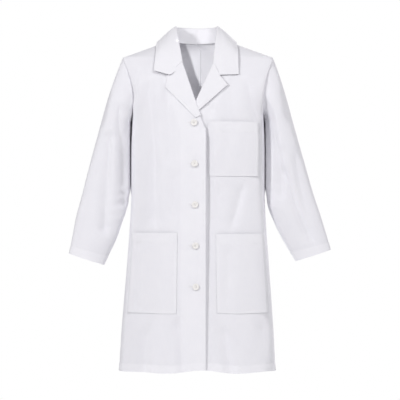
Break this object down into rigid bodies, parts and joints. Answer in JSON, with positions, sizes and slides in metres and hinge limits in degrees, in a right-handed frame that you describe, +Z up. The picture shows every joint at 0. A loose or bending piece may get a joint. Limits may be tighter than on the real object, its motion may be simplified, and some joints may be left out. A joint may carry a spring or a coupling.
{
  "type": "lab coat",
  "caption": "White knee-length laboratory coat with notched lapels, buttoned front, long sleeves, chest pocket and hip pockets, shown as worn.",
  "frame": {"origin": "middle of the neck opening, level with the back neck seam", "axes": "+Z up, -Y out of the front, +X towards the wearer's left"},
  "size_m": [0.7441, 0.3006, 0.9864],
  "materials": {
    "poplin": "plain-weave polyester and cotton, matt white with a cool cast",
    "poplin_fold": "the same cloth on turned hems, facings and the under collar",
    "interlining": "non-woven fusible interlining inside the collar",
    "button": "pearly off-white cast polyester",
    "thread": "white sewing thread"
  },
  "bodies": {
    "torso": {"back_right": "poplin", "back_left": "poplin", "back_hem_right": "poplin_fold", "back_hem_left": "poplin_fold", "vent_underlap": "poplin", "front_shoulder_right": "poplin", "front_shoulder_left": "poplin", "upper_collar_back": "poplin", "under_collar_back": "poplin_fold", "collar_stand_back": "poplin", "collar_interlining": "interlining", "sleeve_head_right": "poplin", "sleeve_head_left": "poplin"},
    "right_front": {"front_right": "poplin", "buttonhole_band": "poplin", "facing_right": "poplin_fold", "front_hem_right": "poplin_fold", "lapel_right": "poplin", "hip_pocket_right": "poplin", "hip_pocket_right_hem": "poplin_fold", "upper_collar_right": "poplin", "under_collar_right": "poplin_fold", "collar_stand_right": "poplin"},
    "left_front": {"front_left": "poplin", "facing_left": "poplin_fold", "front_hem_left": "poplin_fold", "lapel_left": "poplin", "chest_pocket": "poplin", "chest_pocket_hem": "poplin_fold", "hip_pocket_left": "poplin", "hip_pocket_left_hem": "poplin_fold", "upper_collar_left": "poplin", "under_collar_left": "poplin_fold", "collar_stand_left": "poplin", "button_thread_1": "thread", "button_thread_2": "thread", "button_thread_3": "thread", "button_thread_4": "thread", "button_thread_5": "thread"},
    "right_upper_sleeve": {"upper_sleeve_right": "poplin", "elbow_cloth_right": "poplin"},
    "left_upper_sleeve": {"upper_sleeve_left": "poplin", "elbow_cloth_left": "poplin"},
    "right_lower_sleeve": {"lower_sleeve_right": "poplin", "cuff_hem_right": "poplin_fold"},
    "left_lower_sleeve": {"lower_sleeve_left": "poplin", "cuff_hem_left": "poplin_fold"},
    "button_1": {"button_1": "button"},
    "button_2": {"button_2": "button"},
    "button_3": {"button_3": "button"},
    "button_4": {"button_4": "button"},
    "button_5": {"button_5": "button"}
  },
  "joints": [
    {"name": "right_front_open", "type": "hinge", "parent": "torso", "child": "right_front", "pos_m": [-0.19, -0.04, -0.4], "axis": [-0.0518, 0, -0.9987], "range_deg": [0, 50], "deforming": ["buttonhole_band", "facing_right"]},
    {"name": "left_front_open", "type": "hinge", "parent": "torso", "child": "left_front", "pos_m": [0.19, -0.04, -0.4], "axis": [-0.0518, 0, 0.9987], "range_deg": [0, 25]},
    {"name": "right_arm_raise", "type": "hinge", "parent": "torso", "child": "right_upper_sleeve", "pos_m": [-0.196, 0, -0.12], "axis": [0, 1, 0], "range_deg": [0, 60], "deforming": ["sleeve_head_right"]},
    {"name": "left_arm_raise", "type": "hinge", "parent": "torso", "child": "left_upper_sleeve", "pos_m": [0.196, 0, -0.12], "axis": [0, -1, 0], "range_deg": [0, 60], "deforming": ["sleeve_head_left"]},
    {"name": "right_elbow_bend", "type": "hinge", "parent": "right_upper_sleeve", "child": "right_lower_sleeve", "pos_m": [-0.272, 0, -0.464], "axis": [-0.9746, 0, 0.2241], "range_deg": [0, 70], "deforming": ["elbow_cloth_right"]},
    {"name": "left_elbow_bend", "type": "hinge", "parent": "left_upper_sleeve", "child": "left_lower_sleeve", "pos_m": [0.27, 0, -0.459], "axis": [-0.9746, 0, -0.2241], "range_deg": [0, 70], "deforming": ["elbow_cloth_left"]},
    {"name": "button_1_tilt", "type": "hinge", "parent": "left_front", "child": "button_1", "pos_m": [-0.011, -0.1301, -0.232], "axis": [0, 0, 1], "range_deg": [-12, 12]},
    {"name": "button_2_tilt", "type": "hinge", "parent": "left_front", "child": "button_2", "pos_m": [-0.0097, -0.13035, -0.3467], "axis": [0, 0, 1], "range_deg": [-12, 12]},
    {"name": "button_3_tilt", "type": "hinge", "parent": "left_front", "child": "button_3", "pos_m": [-0.0084, -0.12983, -0.4614], "axis": [0, 0, 1], "range_deg": [-12, 12]},
    {"name": "button_4_tilt", "type": "hinge", "parent": "left_front", "child": "button_4", "pos_m": [-0.0071, -0.13508, -0.5761], "axis": [0, 0, 1], "range_deg": [-12, 12]},
    {"name": "button_5_tilt", "type": "hinge", "parent": "left_front", "child": "button_5", "pos_m": [-0.0058, -0.14246, -0.6908], "axis": [0, 0, 1], "range_deg": [-12, 12]}
  ],
  "couplings": [
    {"joint": "left_front_open", "follows": "right_front_open", "ratio": 0.5}
  ]
}
